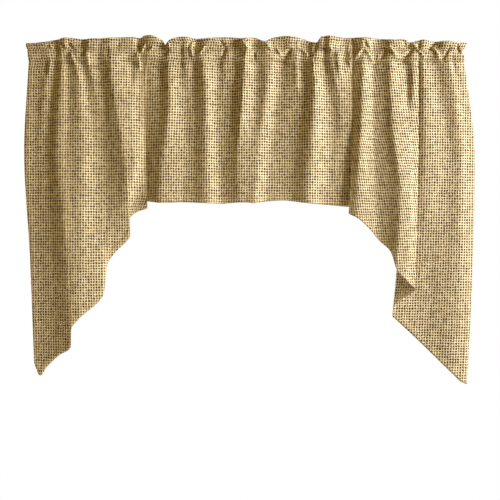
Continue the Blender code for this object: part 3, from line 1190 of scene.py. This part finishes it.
class SWAG_OT_right_swag(bpy.types.Operator):
    """Hangs the right swag with its knife pleat"""

    bl_idname = "swag.right_swag"
    bl_label = "Right Swag"

    def execute(self, context):
        nodes = ("right_swag", "right_heading")
        swag_sheet("right_swag_cloth", RIGHT_SWAG_FOLDS, nodes, context)
        return {"FINISHED"}


CAMERA_DISTANCE = 3.0
SENSOR_WIDTH_MM = 36.0


def photo_place(pixel_x, pixel_y):
    """The point in the rod's plane that shows at a pixel of the photograph."""
    x = (pixel_x - PHOTO_ORIGIN_PX[0]) * PHOTO_METRES_PER_PX
    z = (PHOTO_ORIGIN_PX[1] - pixel_y) * PHOTO_METRES_PER_PX
    return Vector((x, 0.0, z))


def add_camera(scene):
    """A level camera in front, which sees what the photograph's frame shows."""
    camera = add_object("camera", bpy.data.cameras.new("camera"))
    middle = photo_place(*PHOTO_MIDDLE_PX)
    camera.location = middle + Vector((0.0, -CAMERA_DISTANCE, 0.0))
    camera.rotation_euler = (math.radians(90.0), 0.0, 0.0)
    camera.data.sensor_width = SENSOR_WIDTH_MM
    frame_width = PHOTO_WIDTH_PX * PHOTO_METRES_PER_PX
    camera.data.lens = SENSOR_WIDTH_MM * CAMERA_DISTANCE / frame_width
    scene.camera = camera


# The lamps: place and aim in metres, side of the square, watts and colour
Lamp = namedtuple("Lamp", "name place aim size power colour")

LAMPS = (
    Lamp("key_light", (3.8, -1.34, 0.55), (0.0, 0.0, -0.35), 2.0, 354.0, (0.84, 0.87, 1.0)),
    Lamp("fill_light", (-0.6, -3.6, 0.6), (0.0, 0.0, -0.4), 2.0, 8.0, (1.0, 0.76, 0.2)),
    Lamp("back_light", (-3.2, 2.1, 0.8), (0.0, 0.0, -0.4), 2.0, 190.0, (0.92, 0.94, 1.0)),
)


def add_lamp(lamp):
    """A soft square lamp turned to its aim."""
    data = bpy.data.lights.new(lamp.name, "AREA")
    data.shape = "SQUARE"
    data.size = lamp.size
    data.energy = lamp.power
    data.color = lamp.colour
    light = add_object(lamp.name, data)
    light.location = lamp.place
    direction = Vector(lamp.aim) - Vector(lamp.place)
    light.rotation_euler = direction.to_track_quat("-Z", "Y").to_euler()


# The floor: how far it lies under the rod, half its width, squares each way
FLOOR_DROP = 2.1
FLOOR_REACH = 2.5
FLOOR_SQUARES = 8


def add_floor(colours):
    """A wide pale floor, well below the cloth."""
    mesh = bpy.data.meshes.new("floor")
    bm = bmesh.new()
    bmesh.ops.create_grid(
        bm, x_segments=FLOOR_SQUARES, y_segments=FLOOR_SQUARES, size=FLOOR_REACH
    )
    bm.to_mesh(mesh)
    bm.free()
    floor = add_object("floor", mesh)
    floor.location = (0.0, 0.0, -FLOOR_DROP)
    material, _, shader = new_material("pale_floor")
    shader.inputs["Base Color"].default_value = tuple(colours.floor)
    shader.inputs["Roughness"].default_value = 0.9
    mesh.materials.append(material)


# The room's light on the object, and what shows behind it
WORLD_COLOUR = (1.0, 0.64, 0.02, 1.0)
WORLD_STRENGTH = 0.178
WHITE = (1.0, 1.0, 1.0, 1.0)


def add_world(scene):
    """White behind the object, and a dim warm room as light on it."""
    world = bpy.data.worlds.new("studio")
    world.use_nodes = True
    w = Wiring(world.node_tree)
    background = world.node_tree.nodes["Background"]
    seen = w.add("ShaderNodeLightPath").outputs["Is Camera Ray"]
    w.join(w.mix(seen, WORLD_COLOUR, WHITE), background.inputs["Color"])
    strength = w.math("MULTIPLY_ADD", seen, 1.0 - WORLD_STRENGTH, WORLD_STRENGTH)
    w.join(strength, background.inputs["Strength"])
    scene.world = world


class SWAG_OT_stage(bpy.types.Operator):
    """Sets up the floor, the lamps and the camera"""

    bl_idname = "swag.stage"
    bl_label = "Stage"

    def execute(self, context):
        scene = context.scene
        add_camera(scene)
        add_world(scene)
        add_floor(scene.swag_colours)
        for lamp in LAMPS:
            add_lamp(lamp)
        scene.view_settings.view_transform = "Standard"
        return {"FINISHED"}


class SWAG_PT_panel(bpy.types.Panel):
    """The swag's sizes, colours and steps"""

    bl_idname = "SWAG_PT_panel"
    bl_label = "Window Swag"
    bl_space_type = "VIEW_3D"
    bl_region_type = "UI"
    bl_category = "Window Swag"

    def draw(self, context):
        """Lists the sizes, the colours and a button for each step."""
        layout = self.layout
        for group in (context.scene.swag_sizes, context.scene.swag_colours):
            box = layout.box()
            for name in group.__annotations__:
                box.prop(group, name)
        for step in OPERATORS:
            layout.operator(step.bl_idname)


OPERATORS = (
    SWAG_OT_stage,
    SWAG_OT_left_swag,
    SWAG_OT_centre_valance,
    SWAG_OT_right_swag,
)
CLASSES = (SwagSizes, SwagColours, *OPERATORS, SWAG_PT_panel)


def register():
    """Adds the classes, and the scene's sizes and colours."""
    for cls in CLASSES:
        bpy.utils.register_class(cls)
    bpy.types.Scene.swag_sizes = bpy.props.PointerProperty(type=SwagSizes)
    bpy.types.Scene.swag_colours = bpy.props.PointerProperty(type=SwagColours)


def unregister():
    """Takes out what register adds."""
    del bpy.types.Scene.swag_colours
    del bpy.types.Scene.swag_sizes
    for cls in reversed(CLASSES):
        bpy.utils.unregister_class(cls)


def main():
    """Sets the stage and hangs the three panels."""
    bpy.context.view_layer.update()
    register()
    bpy.ops.swag.stage()
    bpy.ops.swag.left_swag()
    bpy.ops.swag.centre_valance()
    bpy.ops.swag.right_swag()


if __name__ == "__main__":
    main()
